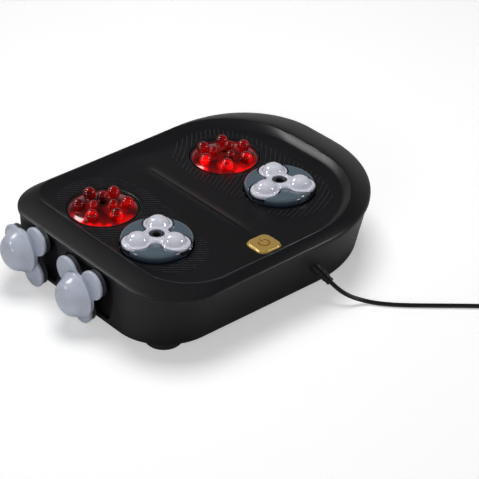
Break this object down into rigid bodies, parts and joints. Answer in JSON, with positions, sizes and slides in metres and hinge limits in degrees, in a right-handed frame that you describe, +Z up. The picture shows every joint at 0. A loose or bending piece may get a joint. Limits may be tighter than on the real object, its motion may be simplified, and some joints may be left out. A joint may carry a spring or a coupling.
{
  "type": "foot massager",
  "caption": "Low electric foot massager: a D-shaped foot plate with turning red lit caps and white three-lobed kneaders, and lobed heads on its left side.",
  "frame": {"origin": "On the floor, under the middle of the massager's bounding box with its side heads and without its cord.", "axes": "+X to the round end, away from the side heads; +Y to the toe side; +Z up."},
  "size_m": [0.4928, 0.5275, 0.0964],
  "materials": {
    "housing_black": "satin moulded black",
    "rubber_black": "dull black rubber",
    "steel": "zinc-plated steel",
    "bronze": "sintered bronze",
    "acetal": "natural white acetal",
    "motor_can": "plated motor can",
    "circuit_board": "green circuit board",
    "component_grey": "dark component bodies",
    "gold": "gold-coloured gloss",
    "red_lens": "translucent red gloss",
    "slate": "slate-grey gloss",
    "pearl": "white gloss",
    "pale_grey": "pale blue-grey satin gloss",
    "cord_black": "black cord sheath",
    "pin_brass": "nickel-plated brass"
  },
  "bodies": {
    "housing": {"top_cover": "housing_black", "lower_body": "housing_black", "side_panel": "housing_black", "rubber_feet": "rubber_black", "foot_screws": "steel", "case_screws": "steel", "mechanism_screws": "steel", "head_bushes": "bronze", "side_bushes": "bronze", "side_bracket": "steel", "side_motor": "motor_can", "control_board": "circuit_board", "board_parts": "component_grey", "button_switch": "component_grey", "button_spring": "steel", "strain_relief": "rubber_black", "left_chassis": "housing_black", "right_chassis": "housing_black", "left_motor": "motor_can", "right_motor": "motor_can", "left_lamp_board": "circuit_board", "right_lamp_board": "circuit_board", "cord": "cord_black", "cord_coil": "cord_black", "plug_body": "cord_black", "plug_pins": "pin_brass"},
    "power_button": {"power_button": "gold"},
    "side_drive_gear": {"side_drive_gear": "acetal"},
    "left_red_head": {"left_red_shaft": "steel", "left_red_gear": "acetal", "left_red_holder": "housing_black", "left_red_cap": "red_lens"},
    "left_white_head": {"left_white_shaft": "steel", "left_white_gear": "acetal", "left_white_disc": "slate", "left_white_kneader": "pearl", "left_white_hub_screw": "steel"},
    "left_pinion": {"left_pinion": "acetal"},
    "right_red_head": {"right_red_shaft": "steel", "right_red_gear": "acetal", "right_red_holder": "housing_black", "right_red_cap": "red_lens"},
    "right_white_head": {"right_white_shaft": "steel", "right_white_gear": "acetal", "right_white_disc": "slate", "right_white_kneader": "pearl", "right_white_hub_screw": "steel"},
    "right_pinion": {"right_pinion": "acetal"},
    "toe_side_head": {"toe_side_shaft": "steel", "toe_side_gear": "acetal", "toe_side_arm": "housing_black", "toe_side_paddle": "pale_grey", "toe_side_dome": "pale_grey"},
    "heel_side_head": {"heel_side_shaft": "steel", "heel_side_gear": "acetal", "heel_side_arm": "housing_black", "heel_side_paddle": "pale_grey", "heel_side_dome": "pale_grey"}
  },
  "joints": [
    {"name": "power_button_press", "type": "slide", "parent": "housing", "child": "power_button", "axis": [0, 0, 1], "range_m": [-0.0015, 0], "stiffness_N_per_m": 400, "deforming": ["button_spring"]},
    {"name": "left_red_head_spin", "type": "hinge", "parent": "housing", "child": "left_red_head", "pos_m": [-0.0938, 0.05915, 0.0445], "axis": [0, 0, 1], "continuous": true},
    {"name": "left_white_head_spin", "type": "hinge", "parent": "housing", "child": "left_white_head", "pos_m": [-0.0938, -0.03585, 0.0445], "axis": [0, 0, 1], "continuous": true},
    {"name": "left_pinion_spin", "type": "hinge", "parent": "housing", "child": "left_pinion", "pos_m": [-0.0938, 0.01165, 0.0445], "axis": [0, 0, 1], "continuous": true},
    {"name": "right_red_head_spin", "type": "hinge", "parent": "housing", "child": "right_red_head", "pos_m": [0.0842, 0.05915, 0.0445], "axis": [0, 0, 1], "continuous": true},
    {"name": "right_white_head_spin", "type": "hinge", "parent": "housing", "child": "right_white_head", "pos_m": [0.0842, -0.03585, 0.0445], "axis": [0, 0, 1], "continuous": true},
    {"name": "right_pinion_spin", "type": "hinge", "parent": "housing", "child": "right_pinion", "pos_m": [0.0842, 0.01165, 0.0445], "axis": [0, 0, 1], "continuous": true},
    {"name": "toe_side_head_spin", "type": "hinge", "parent": "housing", "child": "toe_side_head", "pos_m": [-0.17125, 0.0833, 0.0435], "axis": [-1, 0, 0], "continuous": true},
    {"name": "heel_side_head_spin", "type": "hinge", "parent": "housing", "child": "heel_side_head", "pos_m": [-0.17125, -0.0117, 0.0435], "axis": [-1, 0, 0], "continuous": true},
    {"name": "side_drive_gear_spin", "type": "hinge", "parent": "housing", "child": "side_drive_gear", "pos_m": [-0.17125, 0.0358, 0.0435], "axis": [-1, 0, 0], "continuous": true}
  ],
  "couplings": [
    {"joint": "left_white_head_spin", "follows": "left_red_head_spin", "ratio": 1},
    {"joint": "left_pinion_spin", "follows": "left_red_head_spin", "ratio": -2.1667},
    {"joint": "right_white_head_spin", "follows": "right_red_head_spin", "ratio": 1},
    {"joint": "right_pinion_spin", "follows": "right_red_head_spin", "ratio": -2.1667},
    {"joint": "heel_side_head_spin", "follows": "toe_side_head_spin", "ratio": 1},
    {"joint": "side_drive_gear_spin", "follows": "toe_side_head_spin", "ratio": -1}
  ]
}
